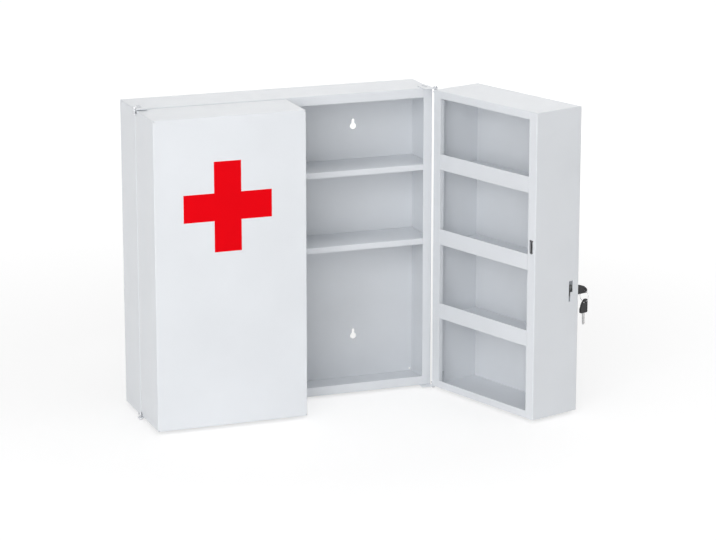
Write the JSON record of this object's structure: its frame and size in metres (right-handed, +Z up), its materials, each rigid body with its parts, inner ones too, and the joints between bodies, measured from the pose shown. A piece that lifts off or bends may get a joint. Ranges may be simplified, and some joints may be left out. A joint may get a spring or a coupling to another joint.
{
  "type": "lockable medicine cabinet",
  "caption": "Wall-hung lockable steel medicine cabinet: box doors with lipped shelves, shelved body, cam lock with keys, magnetic catches and pin hinges.",
  "frame": {"origin": "centre of the rectangle of wall keyholes, on the outer face of the back, at the middle of the cabinet's width and height", "axes": "+X to the right seen from the front, +Y into the wall, +Z up; the doors face -Y"},
  "size_m": [0.7404, 0.3522, 0.539],
  "materials": {
    "powder_coat": "satin powder coat",
    "rivet_steel": "coated with the body",
    "zinc_plated_steel": "zinc plated",
    "catch_plastic": "matt",
    "pole_steel": "plain",
    "ferrite": "matt",
    "red_film": "satin film",
    "lock_nickel": "nickel plated",
    "plug_nickel": "nickel plated",
    "wafer_brass": "plain",
    "key_steel": "nickel plated",
    "bow_plastic": "satin",
    "ring_wire": "bright"
  },
  "bodies": {
    "cabinet": {"body_tray": "powder_coat", "upper_shelf": "powder_coat", "lower_shelf": "powder_coat", "body_hinge_leaves": "powder_coat", "hinge_rivets": "rivet_steel", "hinge_pins": "zinc_plated_steel", "strike_plate": "zinc_plated_steel", "strike_rivets": "rivet_steel"},
    "left_door": {"left_door_pan": "powder_coat", "left_door_lugs": "zinc_plated_steel", "left_shelf_top": "powder_coat", "left_shelf_middle": "powder_coat", "left_shelf_bottom": "powder_coat", "left_catch_case": "catch_plastic", "left_catch_poles": "pole_steel", "left_catch_magnet": "ferrite", "cross_sign": "red_film"},
    "right_door": {"right_door_pan": "powder_coat", "right_door_lugs": "zinc_plated_steel", "right_shelf_top": "powder_coat", "right_shelf_middle": "powder_coat", "right_shelf_bottom": "powder_coat", "right_catch_case": "catch_plastic", "right_catch_poles": "pole_steel", "right_catch_magnet": "ferrite", "lock_barrel": "lock_nickel", "lock_nut": "lock_nickel"},
    "lock_plug": {"lock_plug": "plug_nickel", "lock_wafers": "wafer_brass", "lock_cam": "zinc_plated_steel", "cam_screw": "zinc_plated_steel"},
    "key": {"key_blade": "key_steel", "key_bow": "bow_plastic"},
    "key_ring": {"key_ring": "ring_wire"},
    "spare_key": {"spare_key_blade": "key_steel", "spare_key_bow": "bow_plastic"}
  },
  "joints": [
    {"name": "left_door_hinge", "type": "hinge", "parent": "cabinet", "child": "left_door", "pos_m": [-0.2675, -0.097, 0], "axis": [0, 0, -1], "range_deg": [0, 165]},
    {"name": "right_door_hinge", "type": "hinge", "parent": "cabinet", "child": "right_door", "pos_m": [0.2675, -0.097, 0], "axis": [0, 0, 1], "range_deg": [-108, 57]},
    {"name": "key_turn", "type": "hinge", "parent": "right_door", "child": "lock_plug", "pos_m": [0.4354, -0.30794, -0.057], "axis": [0.9511, 0.309, 0], "range_deg": [0, 90]},
    {"name": "key_pull", "type": "slide", "parent": "lock_plug", "child": "key", "axis": [0.9511, 0.309, 0], "range_m": [0, 0.03]},
    {"name": "ring_swing", "type": "hinge", "parent": "key", "child": "key_ring", "pos_m": [0.4606, -0.29975, -0.06031], "axis": [0.309, -0.9511, 0], "range_deg": [-12, 40]},
    {"name": "spare_key_swing", "type": "hinge", "parent": "key_ring", "child": "spare_key", "pos_m": [0.4606, -0.29975, -0.08111], "axis": [0.309, -0.9511, 0], "range_deg": [-10, 30]}
  ]
}
